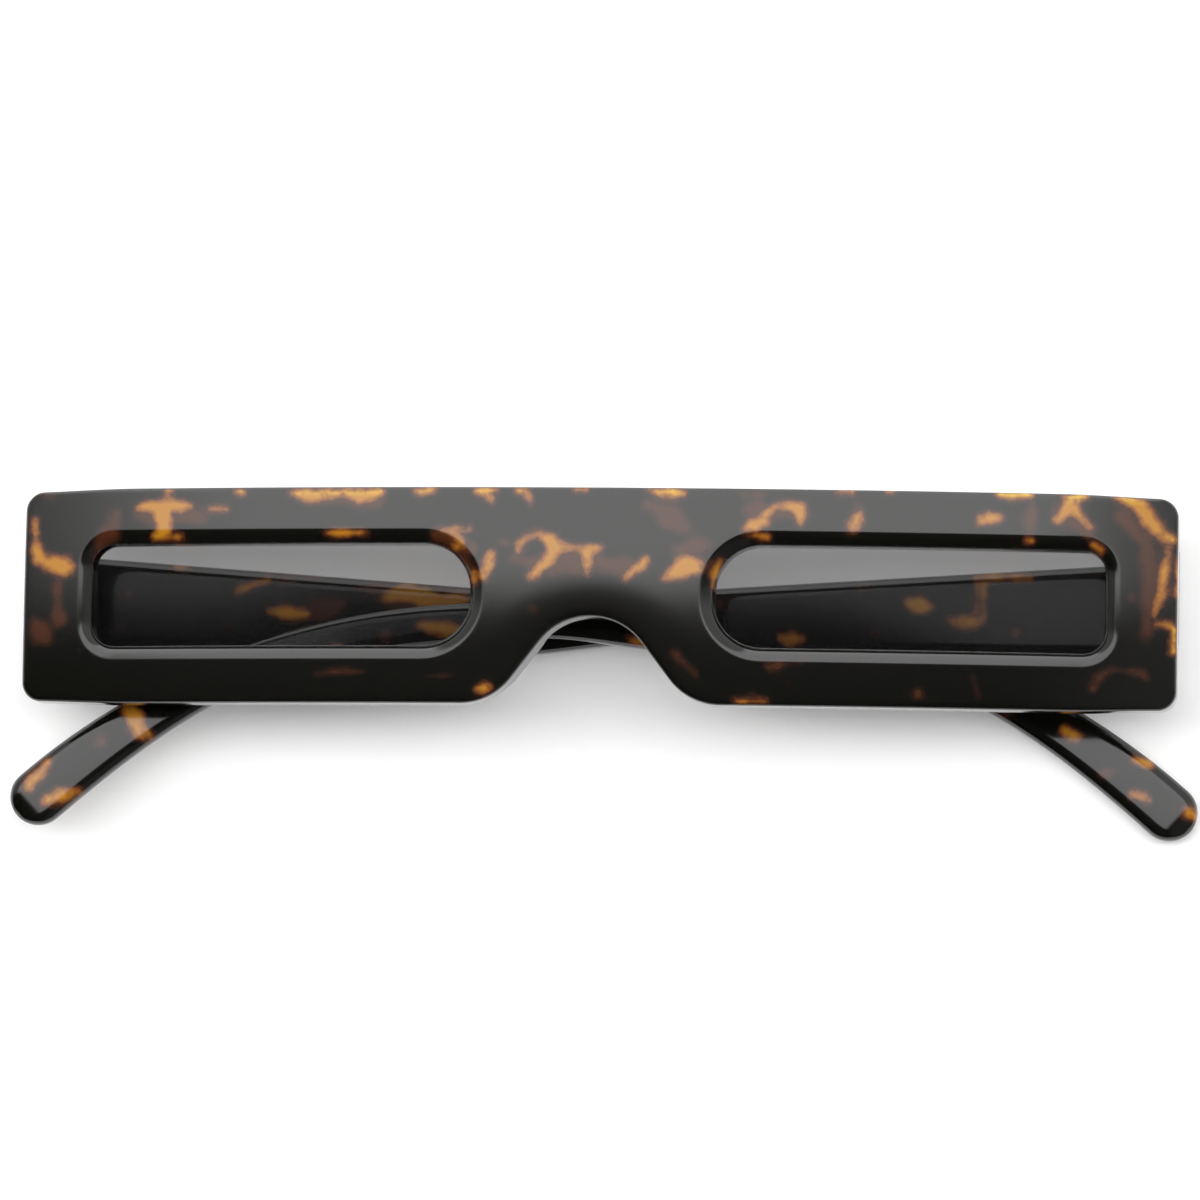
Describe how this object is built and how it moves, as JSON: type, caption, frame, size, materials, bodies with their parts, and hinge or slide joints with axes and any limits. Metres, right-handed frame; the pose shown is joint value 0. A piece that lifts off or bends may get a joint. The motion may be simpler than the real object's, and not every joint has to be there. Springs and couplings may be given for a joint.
{
  "type": "flat top sunglasses",
  "caption": "Slim flat top sunglasses in tortoise plastic with slit lenses, folded, on their back.",
  "frame": {"origin": "bottom centre of the bounding box, on the surface that the folded sunglasses lie on", "axes": "+X towards the wearer's left end of the front, +Y towards the flat top edge, +Z out of the front of the lenses"},
  "size_m": [0.1495, 0.0418, 0.0229],
  "materials": {
    "tortoise_plastic": "gloss",
    "smoke_lens": "gloss",
    "hinge_metal": "satin"
  },
  "bodies": {
    "front": {"front_frame": "tortoise_plastic", "lens_left": "smoke_lens", "lens_right": "smoke_lens", "front_leaf_left": "hinge_metal", "front_leaf_right": "hinge_metal", "hinge_screw_left": "hinge_metal", "hinge_screw_right": "hinge_metal"},
    "left_temple": {"temple_left": "tortoise_plastic", "temple_leaf_left": "hinge_metal"},
    "right_temple": {"temple_right": "tortoise_plastic", "temple_leaf_right": "hinge_metal"}
  },
  "joints": [
    {"name": "left_hinge", "type": "hinge", "parent": "front", "child": "left_temple", "pos_m": [0.0677, 0.00777, 0.00849], "axis": [0, -1, 0], "range_deg": [0, 91.5]},
    {"name": "right_hinge", "type": "hinge", "parent": "front", "child": "right_temple", "pos_m": [-0.0677, 0.00777, 0.00849], "axis": [0, 1, 0], "range_deg": [0, 88.5]}
  ]
}
